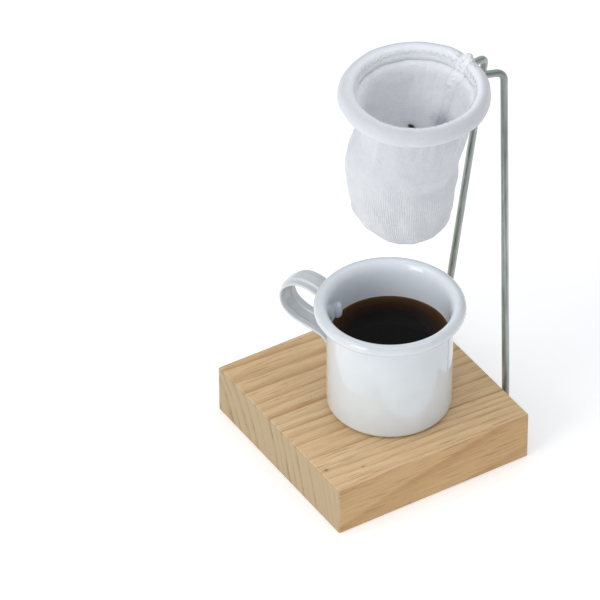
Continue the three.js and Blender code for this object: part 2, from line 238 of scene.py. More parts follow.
class Paint:
    """A procedural material, built up from nodes by its methods, which return sockets."""

    def __init__(self, name, **surface):
        self.material = bpy.data.materials.new(name)
        self.material.use_nodes = True
        self.tree = self.material.node_tree
        self.tree.nodes.clear()
        self.surface = self.tree.nodes.new("ShaderNodeBsdfPrincipled")
        output = self.tree.nodes.new("ShaderNodeOutputMaterial")
        self.tree.links.new(self.surface.outputs[0], output.inputs["Surface"])
        for socket, value in surface.items():
            self.give(self.surface.inputs[socket.replace("_", " ")], value)

    def give(self, socket, value):
        if isinstance(value, bpy.types.NodeSocket):
            self.tree.links.new(value, socket)
        elif hasattr(value, "__len__") and len(value) == 3 and socket.type == "RGBA":
            socket.default_value = (*value, 1)
        else:
            socket.default_value = value

    def set(self, socket, value):
        self.give(self.surface.inputs[socket], value)

    def node(self, kind, inputs=(), output=0, **settings):
        node = self.tree.nodes.new(kind)
        for key, value in settings.items():
            setattr(node, key, value)
        for key, value in dict(inputs).items():
            self.give(node.inputs[key], value)
        return node.outputs[output]

    def place(self):
        """Millimetres in the piece's own frame."""
        own = self.node("ShaderNodeTexCoord", output="Object")
        return self.node("ShaderNodeVectorMath", {0: own, "Scale": 1000.0}, operation="SCALE")

    def lay(self):
        return self.node("ShaderNodeAttribute", output="Vector", attribute_name="lay")

    def split(self, vector):
        node = self.tree.nodes.new("ShaderNodeSeparateXYZ")
        self.tree.links.new(vector, node.inputs[0])
        return node.outputs

    def join(self, x, y, z=0.0):
        return self.node("ShaderNodeCombineXYZ", {0: x, 1: y, 2: z})

    def math(self, operation, a, b=0.0, c=0.0):
        return self.node("ShaderNodeMath", {0: a, 1: b, 2: c}, operation=operation)

    def add(self, a, b):
        return self.math("ADD", a, b)

    def times(self, a, b):
        return self.math("MULTIPLY", a, b)

    def scaled(self, vector, factors):
        return self.node("ShaderNodeVectorMath", {0: vector, 1: factors}, operation="MULTIPLY")

    def noise(self, vector, scale=1.0, detail=2.0, roughness=0.5):
        return self.node("ShaderNodeTexNoise",
                         {"Vector": vector, "Scale": scale, "Detail": detail, "Roughness": roughness})

    def spread(self, value, low, high, to_low=0.0, to_high=1.0):
        return self.node("ShaderNodeMapRange",
                         {"Value": value, "From Min": low, "From Max": high, "To Min": to_low, "To Max": to_high},
                         interpolation_type="SMOOTHSTEP")

    def ramp(self, value, stops):
        node = self.tree.nodes.new("ShaderNodeValToRGB")
        elements = node.color_ramp.elements
        while len(elements) < len(stops):
            elements.new(0.5)
        for element, (position, colour) in zip(elements, stops):
            element.position = position
            element.color = (*colour, 1) if hasattr(colour, "__len__") else (colour, colour, colour, 1)
        self.tree.links.new(value, node.inputs[0])
        return node.outputs[0]

    def mix(self, factor, a, b, blend="MIX"):
        node = self.tree.nodes.new("ShaderNodeMix")
        node.data_type = "RGBA"
        node.blend_type = blend
        self.give(node.inputs[0], factor)
        self.give(node.inputs[6], a)
        self.give(node.inputs[7], b)
        return node.outputs[2]

    def bump(self, height, distance_mm, strength=1.0, normal=None):
        inputs = {"Height": height, "Distance": distance_mm * MM, "Strength": strength}
        if normal is not None:
            inputs["Normal"] = normal
        return self.node("ShaderNodeBump", inputs)


def make_pine():
    """Pine, cut from a solid whose growth rings go round its pith."""
    paint = Paint("pine", Roughness=0.6, Specular_IOR_Level=0.25)
    place = paint.place()
    x, y, z = paint.split(place)
    drift = paint.noise(paint.scaled(place, (0.03, 0.007, 0.03)), 1.0, 2.0)
    across = paint.add(paint.add(x, -PITH_X), paint.times(y, -0.045))
    up = paint.add(z, -PITH_Z)
    radius = paint.math("SQRT", paint.add(paint.times(across, across), paint.times(up, up)))
    radius = paint.add(radius, paint.times(paint.add(drift, -0.5), 6.0))
    # Rings are about 7 mm wide at the left of the block and 3.6 mm at the right.
    rings = paint.add(paint.times(radius, 0.0456), paint.times(paint.times(radius, radius), 0.000785))
    seasons = paint.noise(paint.join(paint.times(radius, 0.06), 3.0), 1.0, 2.0)
    rings = paint.add(rings, paint.times(seasons, 2.6))
    part = paint.math("FRACT", rings)
    one_ring = paint.node("ShaderNodeTexWhiteNoise", {"W": paint.math("FLOOR", rings)}, noise_dimensions="1D")
    late = paint.ramp(part, [(0.0, 0.0), (0.35, 0.06), (0.7, 0.45), (0.9, 1.0), (0.965, 0.75), (1.0, 0.0)])
    late = paint.times(late, paint.spread(one_ring, 0.0, 1.0, 0.35, 1.0))
    patchy = paint.noise(paint.scaled(place, (0.12, 0.02, 0.12)), 1.0, 3.0)
    late = paint.times(late, paint.spread(patchy, 0.3, 0.7, 0.55, 1.15))
    fibre = paint.noise(paint.scaled(place, (2.6, 0.07, 2.6)), 1.0, 4.0, 0.65)
    fine = paint.noise(paint.scaled(place, (6.5, 0.25, 6.5)), 1.0, 2.0, 0.6)
    dashes = paint.noise(paint.scaled(place, (1.5, 0.05, 1.5)), 1.0, 1.0)
    dashes = paint.times(paint.spread(dashes, 0.60, 0.70), paint.spread(fine, 0.30, 0.55))
    colour = paint.mix(late, (0.775, 0.555, 0.32), (0.45, 0.245, 0.10))
    tone = paint.noise(paint.scaled(place, (0.05, 0.008, 0.05)), 1.0, 2.0)
    colour = paint.mix(paint.spread(tone, 0.3, 0.7, 0.0, 0.35), colour, (0.66, 0.42, 0.215))
    streak = paint.add(paint.spread(fibre, 0.25, 0.75, 0.82, 1.10), paint.spread(fine, 0.2, 0.8, -0.06, 0.06))
    colour = paint.mix(1.0, colour, paint.join(streak, streak, streak), "MULTIPLY")
    colour = paint.mix(paint.times(dashes, 0.55), colour, (0.26, 0.13, 0.06))
    # The side faces are a little darker and redder than the top: painted shade, for faces turned away from the
    # light.
    own_normal = paint.node("ShaderNodeTexCoord", output="Normal")
    flat_on = paint.math("ABSOLUTE", paint.split(own_normal)[0])
    colour = paint.mix(paint.times(paint.spread(flat_on, 0.6, 0.8), 0.8), colour, (0.77, 0.70, 0.59), "MULTIPLY")
    # The ends show the fibres cut across: paler, yellower, with darker ring lines and open pores.
    facing = paint.math("ABSOLUTE", paint.split(own_normal)[1])
    end = paint.spread(facing, 0.6, 0.8)
    pores = paint.noise(paint.scaled(place, (3.4, 3.4, 3.4)), 1.0, 3.0, 0.7)
    # The end grain's colour is held low overall: painted shade, for a shadow cast across that end.
    end_grain_and_shade = paint.mix(paint.math("POWER", late, 1.6), (0.475, 0.36, 0.215), (0.29, 0.195, 0.105))
    speckle = paint.spread(pores, 0.3, 0.7, 0.82, 1.08)
    end_grain_and_shade = paint.mix(1.0, end_grain_and_shade, paint.join(speckle, speckle, speckle), "MULTIPLY")
    colour = paint.mix(end, colour, end_grain_and_shade)
    longer = 0.6
    for knot_x, knot_y, knot_z, size in KNOTS:
        away = paint.node("ShaderNodeVectorMath", {0: paint.scaled(place, (1.0, longer, 1.0)),
                                                  1: (knot_x, knot_y * longer, knot_z)},
                          output="Value", operation="DISTANCE")
        colour = paint.mix(paint.spread(away, 0.4 * size, 1.5 * size, 0.85, 0.0), colour, (0.16, 0.065, 0.03))
        colour = paint.mix(paint.spread(away, 1.0 * size, 4.0 * size, 0.3, 0.0), colour, (0.30, 0.15, 0.07))
    paint.set("Base Color", colour)
    paint.set("Roughness", paint.spread(fibre, 0.2, 0.8, 0.5, 0.68))
    grain = paint.add(paint.times(late, 0.35), paint.times(paint.mix(end, fibre, pores), 0.65))
    paint.set("Normal", paint.bump(grain, 0.12, 0.5))
    return paint.material


def make_galvanised():
    """Zinc-coated wire, with draw marks along it and the coating's dull patches."""
    paint = Paint("galvanised", Metallic=0.75, Specular_IOR_Level=0.5)
    lay = paint.lay()
    marks = paint.noise(paint.scaled(lay, (0.022, 1.3, 1.0)), 1.0, 3.0, 0.6)
    patches = paint.noise(paint.scaled(lay, (0.10, 0.6, 1.0)), 1.0, 3.0, 0.6)
    specks = paint.noise(paint.scaled(lay, (2.2, 2.2, 1.0)), 1.0, 2.0, 0.7)
    tone = paint.add(paint.spread(marks, 0.3, 0.7, 0.0, 0.7), paint.spread(patches, 0.3, 0.7, 0.0, 0.3))
    colour = paint.ramp(tone, [(0.0, (0.18, 0.20, 0.185)), (0.5, (0.37, 0.405, 0.38)), (1.0, (0.60, 0.635, 0.61))])
    colour = paint.mix(paint.spread(specks, 0.62, 0.75, 0.0, 0.25), colour, (0.15, 0.155, 0.13))
    # Darker where the wire faces the view and lighter towards its outline: painted reflection, the dark centre
    # streak and bright edges of a round metal wire.
    facing = paint.node("ShaderNodeLayerWeight", {"Blend": 0.5}, output="Facing")
    edge = paint.spread(facing, 0.05, 0.7, 0.72, 1.25)
    colour = paint.mix(1.0, colour, paint.join(edge, edge, edge), "MULTIPLY")
    paint.set("Base Color", colour)
    paint.set("Roughness", paint.spread(patches, 0.3, 0.7, 0.36, 0.55))
    paint.set("Normal", paint.bump(paint.add(marks, paint.times(specks, 0.4)), 0.06, 0.5))
    return paint.material


def knit_height(paint, lay, wale, course):
    """Ribs of knitted stitches running along the cloth, each a row of slanted loops."""
    along, across, _ = paint.split(lay)
    rib = paint.times(paint.add(paint.math("COSINE", paint.times(across, TAU / wale)), 1.0), 0.5)
    side = paint.math("ABSOLUTE", paint.add(paint.math("FRACT", paint.times(across, 1 / wale)), -0.5))
    row = paint.add(paint.times(along, 1 / course), paint.times(side, -0.8))
    loop = paint.times(paint.add(paint.math("SINE", paint.times(row, TAU)), 1.0), 0.5)
    return paint.add(paint.times(rib, 0.8), paint.times(loop, 0.2))


def make_cotton(name, wale, course, depth, colour, dark, plain_back=False, seen_through=0.75):
    """Knitted cotton, painted greyer on its outside than inside: painted shade. A plain back shows rows in place of
    ribs.
    """
    paint = Paint(name, Roughness=0.92, Specular_IOR_Level=0.15, Sheen_Weight=0.2, Sheen_Roughness=0.5,
                  Sheen_Tint=(0.9, 0.93, 1.0), Subsurface_Weight=seen_through, Subsurface_Scale=0.0022,
                  Subsurface_Radius=(1.0, 1.0, 1.0))
    lay = paint.lay()
    place = paint.place()
    wander = paint.noise(paint.scaled(place, (0.10, 0.10, 0.10)), 1.0, 2.0)
    along, across, _ = paint.split(lay)
    shift = paint.times(paint.add(wander, -0.5), 2.0)
    height = knit_height(paint, paint.join(along, paint.add(across, shift)), wale, course)
    turned_in = towards_axis(paint, place, BAG_AXIS)
    if plain_back:
        rows = paint.math("SINE", paint.times(paint.add(along, paint.times(shift, 1.5)), TAU / (1.15 * wale)))
        rows = paint.times(paint.add(rows, 1.0), 0.5)
        # The inside's rows sit high in this range, so the inside comes out lighter: painted light.
        height = paint.mix(turned_in, height, paint.spread(rows, 0.0, 1.0, 0.5, 0.9))
    # The ribs show where the cloth hangs loose and are pulled flat towards the hem.
    worn = paint.noise(paint.scaled(place, (0.07, 0.07, 0.07)), 1.0, 1.0)
    slack = paint.spread(paint.split(place)[2], 116.0, 146.0, 0.85, 0.22)
    loose = paint.times(slack, paint.spread(worn, 0.3, 0.7, 0.5, 1.1))
    height = paint.add(paint.times(paint.add(height, -0.5), loose), 0.5)
    uneven = paint.noise(paint.scaled(place, (0.5, 0.5, 0.5)), 1.0, 3.0, 0.6)
    fuzz = paint.noise(paint.scaled(place, (5.0, 5.0, 5.0)), 1.0, 3.0, 0.7)
    # The colour goes towards dark in the knit's grooves, between ribs and loops: painted shade. The uneven noise is
    # the yarn's own tone.
    shade = paint.add(paint.times(height, 0.7), paint.times(uneven, 0.3))
    tint = paint.mix(paint.spread(shade, 0.1, 0.8), dark, colour)
    # Faces looking away from the bag's axis get a darker copy of the colour: painted shade.
    outside_shade = paint.spread(turned_in, 0.0, 1.0, 0.74, 1.0)
    tint = paint.mix(1.0, tint, paint.join(outside_shade, outside_shade, outside_shade), "MULTIPLY")
    paint.set("Base Color", tint)
    relief = paint.add(height, paint.times(fuzz, 0.5))
    paint.set("Normal", paint.bump(relief, depth, 0.8, paint.bump(uneven, 0.5, 0.35)))
    return paint


def towards_axis(paint, place, axis):
    """1 where a face looks in at an upright axis, 0 where it looks away."""
    x, y, _ = paint.split(place)
    facing_x, facing_y, _ = paint.split(paint.node("ShaderNodeTexCoord", output="Normal"))
    outward = paint.add(paint.times(paint.add(x, -axis[0]), facing_x), paint.times(paint.add(y, -axis[1]), facing_y))
    return paint.spread(outward, -20.0, 20.0, 1.0, 0.0)


def with_spot_and_shade(paint):
    """The material of a cotton with a small dark spot, and a patch of painted shade low on its inside, for a fold's
    shadow.
    """
    colour_before = paint.surface.inputs["Base Color"].links[0].from_socket
    place = paint.place()
    seen = paint.spread(towards_axis(paint, place, BAG_AXIS), 0.0, 1.0, 0.06, 1.0)
    wobble = paint.times(paint.add(paint.noise(paint.scaled(place, (0.9, 0.9, 0.9)), 1.0, 2.0), -0.5), 1.6)
    # A small near-black spot with a brownish ring round it, on the inside only.
    flatter = 1.6
    away = paint.node("ShaderNodeVectorMath", {0: paint.scaled(place, (1.0, 1.0, flatter)),
                                              1: (DARK_SPOT[0], DARK_SPOT[1], DARK_SPOT[2] * flatter)},
                      output="Value", operation="DISTANCE")
    away = paint.add(away, wobble)
    # A purple-grey patch: painted shade, where a fold's shadow falls inside the bag.
    shade_patch_distance = paint.node("ShaderNodeVectorMath", {0: place, 1: SHADE_PATCH}, output="Value", operation="DISTANCE")
    shade_patch_distance = paint.add(shade_patch_distance, paint.times(wobble, 2.5))
    with_shade_patch = paint.mix(paint.times(seen, paint.spread(shade_patch_distance, 0.5, 8.5, 0.8, 0.0)), colour_before, (0.45, 0.42, 0.49))
    halo = paint.mix(paint.times(seen, paint.spread(away, 1.2, 5.0, 0.3, 0.0)), with_shade_patch, (0.42, 0.30, 0.30))
    marked = paint.mix(paint.times(seen, paint.spread(away, 0.9, 1.9, 0.97, 0.0)), halo, (0.03, 0.010, 0.012))
    paint.set("Base Color", marked)
    return paint.material


def make_enamel(name, painted_light_inside, shade=1.0):
    """White vitreous enamel: glossy, faintly uneven, with a slightly blue-grey cast, and painted whiter and bluer
    inside a mug: painted light.
    """
    paint = Paint(name, Specular_IOR_Level=0.5, Coat_Weight=0.3, Coat_Roughness=0.04)
    place = paint.place()
    cloud = paint.noise(paint.scaled(place, (0.08, 0.08, 0.08)), 1.0, 2.0)
    # shade multiplies the whole colour down: painted shade, a darker copy of the enamel.
    colour = paint.mix(paint.spread(cloud, 0.3, 0.7), tuple(shade * c for c in (0.655, 0.69, 0.705)),
                       tuple(shade * c for c in (0.69, 0.72, 0.735)))
    # Faces looking in at the mug's axis get a lighter, bluer copy of the enamel: painted light.
    if painted_light_inside:
        colour = paint.mix(towards_axis(paint, place, MUG_CENTRE), colour, (0.855, 0.905, 0.95))
    paint.set("Base Color", colour)
    peel = paint.noise(paint.scaled(place, (0.55, 0.55, 0.55)), 1.0, 1.0)
    paint.set("Roughness", paint.spread(cloud, 0.3, 0.7, 0.08, 0.14))
    paint.set("Normal", paint.bump(peel, 0.10, 0.25))
    return paint.material


def make_coffee():
    """Black coffee, brown where it thins out against the mug's wall: painted light, for the white wall's light seen
    through the coffee.
    """
    paint = Paint("coffee", Roughness=0.03, Specular_IOR_Level=0.13, IOR=1.33)
    x, y, _ = paint.split(paint.place())
    dx = paint.add(x, -float(MUG_CENTRE[0]))
    dy = paint.add(y, -float(MUG_CENTRE[1]))
    radius = paint.math("SQRT", paint.add(paint.times(dx, dx), paint.times(dy, dy)))
    # The brown ring towards the wall is painted light.
    colour = paint.ramp(paint.times(radius, 1 / (MUG_RADIUS - MUG_WALL)), [
        (0.0, (0.003, 0.0025, 0.003)), (0.62, (0.0045, 0.003, 0.0028)), (0.80, (0.020, 0.009, 0.003)),
        (0.93, (0.052, 0.023, 0.006)), (0.98, (0.088, 0.044, 0.014)), (1.0, (0.16, 0.11, 0.06)),
    ])
    paint.set("Base Color", colour)
    return paint.material


PINE = make_pine()
GALVANISED = make_galvanised()
bag_paint = make_cotton("cotton_knit", 0.95, 0.8, 0.35, (0.945, 0.95, 0.975), (0.74, 0.75, 0.795), plain_back=True)
KNIT = with_spot_and_shade(bag_paint)
HEM_KNIT = make_cotton("cotton_hem", 0.8, 0.6, 0.18, (0.895, 0.915, 0.955), (0.80, 0.81, 0.845)).material
seam_paint = make_cotton("cotton_seam", 0.8, 0.6, 0.12, (0.92, 0.93, 0.955), (0.84, 0.85, 0.88), seen_through=0.0)
SEAM_KNIT = with_spot_and_shade(seam_paint)
THREAD = make_cotton("cotton_thread", 0.35, 0.3, 0.03, (0.95, 0.955, 0.97), (0.86, 0.87, 0.89),
                     seen_through=0.0).material
ENAMEL = make_enamel("enamel", True)
# The handle's enamel is a darker copy of the mug's: painted shade.
HANDLE_ENAMEL = make_enamel("enamel_handle", False, 0.92)
COFFEE = make_coffee()


# ---------- The block ----------

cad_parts["wood_base"].data.materials.clear()
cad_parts["wood_base"].data.materials.append(PINE)


# ---------- The stand ----------

def slope(x, y):
    return x * RING_SLOPE[0] + y * RING_SLOPE[1]


def ring_point(angle):
    x = RING_RADIUS * math.cos(angle)
    y = RING_RADIUS * math.sin(angle)
    return RING_CENTRE + [x, y, slope(x, y)]


def bend(before, corner, after, radius, steps=10):
    """The points of a bend of the given radius, at a corner between two other points."""
    back = (before - corner) / np.linalg.norm(before - corner)
    ahead = (after - corner) / np.linalg.norm(after - corner)
    half = math.acos(np.clip(np.dot(back, ahead), -1, 1)) / 2
    middle = (back + ahead) / np.linalg.norm(back + ahead)
    centre = corner + middle * radius / math.sin(half)
    arm = corner + back * radius / math.tan(half) - centre
    axis = Vector(np.cross(ahead, back)).normalized()
    turn = math.pi - 2 * half
    return [centre + np.array(Matrix.Rotation(turn * s / steps, 3, axis) @ Vector(arm)) for s in range(steps + 1)]


def spaced(a, b, step=4.0):
    """Points between a and b, without either."""
    count = max(int(np.linalg.norm(b - a) / step), 1)
    return [a + (b - a) * k / count for k in range(1, count)]


def leg_points(side):
    """One leg of the stand, from its foot's tip inside the block to where it joins the ring."""
    foot_x = side * FOOT_HALF_SPREAD
    tip = np.array([foot_x, FOOT_TIP_Y, FOOT_Z])
    heel = np.array([foot_x, LEG_FOOT_Y, FOOT_Z])
    shoulder = np.array([side * SHOULDER_HALF_SPREAD, SHOULDER_Y, SHOULDER_Z[side]])
    angle = math.pi / 2 - side * RING_MOUTH
    start = ring_point(angle)
    along = np.array([math.sin(angle), -math.cos(angle), 0])
    along[2] = slope(along[0], along[1])
    neck = start - side * WIRE_BEND_RADIUS * along
    heel_bend = bend(tip, heel, shoulder, WIRE_BEND_RADIUS)
    shoulder_bend = bend(heel, shoulder, neck, WIRE_BEND_RADIUS)
    neck_bend = bend(shoulder, neck, start, WIRE_BEND_RADIUS * 0.7)
    return [tip, *spaced(tip, heel_bend[0]), *heel_bend, *spaced(heel_bend[-1], shoulder_bend[0]),
            *shoulder_bend, *neck_bend]


def make_wire():
    start = math.pi / 2 + RING_MOUTH
    ring = [ring_point(start + 2 * (math.pi - RING_MOUTH) * k / 120) for k in range(121)]
    path = np.array([*leg_points(-1), *ring, *leg_points(1)[::-1]])
    grid, lay = tube_grid(path, WIRE_RADIUS, 24)
    # The ends were cropped with cutters, and their edges are eased.
    first, last = [at + (end - at) * 0.8 for end, at in ((grid[:1], path[0]), (grid[-1:], path[-1]))]
    grid = np.concatenate([first, grid, last])
    lay = np.concatenate([lay[:1], lay, lay[-1:]])
    return grid_mesh("stand_wire_drawn", grid, GALVANISED, lay=lay, caps=True)


# ---------- The filter ----------

# The bag hangs from the hem. Half of its outline: radius and height.
BAG_OUTLINE = [(0.02, 96.6), (5.5, 96.9), (11, 98.9), (15.8, 103.8), (19, 110.5), (20.9, 121), (21.6, 132),
               (22.2, 141), (22.5, 149), (22.3, 154), (22.3, 157), (23.0, 159.6), (25.0, 161.5)]

# Where the bag's cloth bulges out or falls in: its direction and height, how far the shape spreads in
# degrees and in millimetres, and how far it stands out. The stand is at 90 degrees.
BAG_SHAPES = [
    (-121, 129, 34, 8, 0.9),
    (-121, 148, 36, 6, -2.9),
    (14, 147, 8, 12, 1.3),
    (33, 147, 12, 15, -0.9),
    (57, 141, 20, 8, 1.3),
    (-4, 131, 24, 3.2, -0.9),
    (6, 138, 20, 6, 0.5),
    (54, 125, 14, 4, 0.4),
    (57, 101, 30, 7, 1.8),
    (-110, 101, 26, 4, -1.9),
    (-112, 111, 26, 5, 0.6),
    (-60, 99, 30, 3.5, 0.9),
    (-70, 128, 30, 9, 0.4),
    (-40, 118, 12, 16, -0.5),
    (-20, 108, 14, 7, 0.7),
    (-88, 142, 8, 18, -0.45),
    (-60, 149, 9, 14, -0.4),
    (100, 148, 8, 16, -1.2),
    (80, 140, 10, 20, 0.8),
    (125, 130, 14, 18, -1.0),
    (150, 140, 12, 20, 0.7),
    (180, 128, 16, 16, -0.9),
    (-155, 140, 10, 20, 0.5),
]


def lean(z):
    """How far back the bag has moved at a height. It hangs forwards, and its bottom falls back again."""
    return 2.6 * smooth(0, 15, 112 - z) - 5.5 * smooth(0, 26, BAG_TOP - z)


def hem_lean(x, y, z):
    return smooth(BAG_BOTTOM, BAG_TOP, z) * slope(x, y)


def bag_radius(base, angle, z):
    """The bag's radius with its folds, for arrays of outline radius, direction and height."""
    out = np.zeros(np.broadcast(angle, z).shape)
    for degrees, height, wide, tall, rise in BAG_SHAPES:
        out += rise * bump_at(angle, degrees, wide) * bump(z, height, tall)
    gathers = np.cos(26 * angle + 2.2 * np.sin(3 * angle)) * (0.6 + 0.4 * np.cos(5 * angle + 1))
    out += 0.22 * gathers * smooth(140, 157, z)
    share = smooth(2, 12, base)
    return base + out * share


def make_bag():
    columns, rows = 288, 150
    outline = curve_through(BAG_OUTLINE, rows)
    angles = np.arange(columns) * TAU / columns
    base = outline[:, 0:1]
    z = np.repeat(outline[:, 1:2], columns, 1)
    angle = np.repeat(angles[None], rows, 0)
    radius = bag_radius(base, angle, z)
    x, y = radius * np.cos(angle), radius * np.sin(angle)
    crumple = np.array([[ripple(p * 0.16, q * 0.16, r * 0.11) + 0.4 * ripple(p * 0.4, q * 0.4, r * 0.33 + 7)
                         for p, q, r in zip(*line)] for line in zip(x, y, z)])
    crumple *= smooth(2, 14, base) * (0.28 + 0.42 * smooth(150, 118, z))
    x += np.cos(angle) * crumple
    y += np.sin(angle) * crumple
    z = z + hem_lean(x, y, z)
    y = y + lean(outline[:, 1:2])
    outside = np.stack([x, y, z], -1)
    # The inner face: each point moved in along the surface's own normal.
    down = np.gradient(outside, axis=0)
    around = np.roll(outside, -1, 1) - np.roll(outside, 1, 1)
    normal = np.cross(around, down)
    normal /= np.maximum(np.linalg.norm(normal, axis=2, keepdims=True), 1e-9)
    pole = np.array([0, 0, -1.0])
    facing = np.sign((normal * np.stack([x, y - lean(z), np.full_like(z, -3)], -1)).sum(2, keepdims=True))
    normal = normal * np.where(facing == 0, 1, facing)
    blend = smooth(0.3, 2.5, np.broadcast_to(base, z.shape))[..., None]
    normal = normal * blend + pole * (1 - blend)
    normal /= np.linalg.norm(normal, axis=2, keepdims=True)
    inside = outside - normal * CLOTH_THICKNESS
    outside[0] = outside[0].mean(0)
    inside[0] = inside[0].mean(0)
    grid = np.concatenate([outside, inside[::-1]]) + [0, RING_CENTRE[1], 0]
    length = np.concatenate([[0], np.cumsum(np.linalg.norm(np.diff(outline, axis=0), axis=1))])
    across = np.arange(columns + 1) * (TAU / columns) * 22.0
    one_side = np.stack(np.broadcast_arrays(length[:, None], across[None]), -1)
    lay = np.concatenate([one_side, one_side[::-1]])
    return grid_mesh("filter_bag_knit", grid, KNIT, lay=lay, merge=True), inside + [0, RING_CENTRE[1], 0]


def make_hem():
    """The casing sewn round the stand's ring: full, rounder outside, and pinched along its stitches inside."""
    columns, sides = 480, 72
    angle = np.arange(columns)[None] * TAU / columns
    turn = np.arange(sides)[:, None] * TAU / sides
    seam = turned(angle - SEAM_ANGLE)
    wide = HEM_HALF_THICKNESS + 0.22 * np.cos(angle + 2.2)
    out = wide * np.cos(turn)
    up = HEM_HALF_HEIGHT * np.sin(turn)
    inner = bump(turned(turn - math.radians(155)), 0, 0.28)
    low = bump(turned(turn - math.radians(212)), 0, 0.35)
    tucks = np.cos(52 * angle) * 0.5 + np.cos(87 * angle + 2) * 0.3 + np.cos(31 * angle + 1) * 0.4
    depth = -0.32 * inner - 0.12 * tucks * inner + 0.10 * tucks * low
    fine = np.array([[ripple(4.4 * math.cos(a), 4.4 * math.sin(a), 0.8 * math.cos(t)) for a in angle[0]]
                     for t in turn[:, 0]])
    coarse = np.array([[ripple(1.7 * math.cos(a) + 9, 1.7 * math.sin(a), 0.5 * math.sin(t)) for a in angle[0]]
                       for t in turn[:, 0]])
    lumps = np.array([[ripple(a * 20, t * 2.6, 4.0) + 0.5 * ripple(a * 38, t * 5.0, 9.0) for a in angle[0]]
                      for t in turned(turn[:, 0] - math.pi / 2)])
    depth = depth + 0.25 * fine + 0.35 * coarse
    depth = depth + bump(seam, 0, 0.20) * lumps * 0.9 * (0.5 + 0.5 * np.cos(turn - math.radians(135)))
    depth = depth + 1.5 * bump(seam, -0.02, 0.055) * bump(turned(turn - math.radians(70)), 0, 0.5)
    depth = depth - 0.25 * bump(seam, 0.11, 0.05) * bump(turned(turn - math.radians(90)), 0, 0.9)
    scale = 1 + depth / HEM_HALF_THICKNESS
    radius = RING_RADIUS + out * scale
    height = up * scale
    x = radius * np.cos(angle)
    y = radius * np.sin(angle)
    grid = np.stack([x, y, height + slope(x, y)], -1) + RING_CENTRE
    around = np.arange(columns + 1) * (TAU / columns) * RING_RADIUS
    section = np.arange(sides + 1) * (TAU / sides) * HEM_HALF_HEIGHT
    lay = np.stack(np.broadcast_arrays(section[:, None], around[None]), -1)
    return grid_mesh("filter_hem_rolled", grid, HEM_KNIT, wrap_rows=True, lay=lay), grid


def hem_surface(angle, turn, clear):
    """A point on the hem, clear of it by that many millimetres. turn is 0 outside and 90 degrees on top."""
    radius = RING_RADIUS + (HEM_HALF_THICKNESS + clear) * np.cos(turn)
    x, y = radius * np.cos(angle), radius * np.sin(angle)
    return np.stack([x, y, (HEM_HALF_HEIGHT + clear) * np.sin(turn) + slope(x, y)], -1) + RING_CENTRE


def make_stitching():
    """Zigzag stitches along the hem's inner side, each a short thread that dips into the cloth at its ends."""
    count, steps, sides = 104, 9, 7
    spare = math.radians(9)
    points, faces, coords = [], [], []
    for k in range(count):
        ends = [SEAM_ANGLE + spare + (TAU - 2 * spare) * (k + s) / count for s in (0, 1)]
        turns = [math.radians(150 + (9 if (k + s) % 2 else -9)) for s in (0, 1)]
        t = np.linspace(0, 1, steps)
        clear = -0.28 + 0.42 * np.sqrt(np.clip(1 - (2 * t - 1) ** 2, 0, 1))
        path = hem_surface(ends[0] + (ends[1] - ends[0]) * t, turns[0] + (turns[1] - turns[0]) * t, clear)
        grid, lay = tube_grid(path, 0.2, sides)
        start = len(points)
        points += list(grid.reshape(-1, 3))
        for i in range(steps - 1):
            for j in range(sides):
                corners = [(i, j), (i, j + 1), (i + 1, j + 1), (i + 1, j)]
                faces.append([start + a * sides + b % sides for a, b in corners])
                coords += [lay[a, b] for a, b in corners]
        for i, order in ((0, -1), (steps - 1, 1)):
            faces.append([start + i * sides + j for j in range(sides)][::order])
            coords += [lay[i, j] for j in range(sides)][::order]
    return add_mesh("hem_zigzag_stitches", np.array(points), faces, THREAD, np.array(coords))


def on_grid(grid, row, angle):
    """Points on a grid that closes round on itself, at fractional rows and at directions round it."""
    column = np.mod(angle / TAU, 1) * grid.shape[1]
    low = np.clip(np.floor(row).astype(int), 0, len(grid) - 2)
    left = np.floor(column).astype(int) % grid.shape[1]
    right = (left + 1) % grid.shape[1]
    f, g = (column % 1)[..., None], (row - low)[..., None]
    return ((grid[low, left] * (1 - f) + grid[low, right] * f) * (1 - g)
            + (grid[low + 1, left] * (1 - f) + grid[low + 1, right] * f) * g)


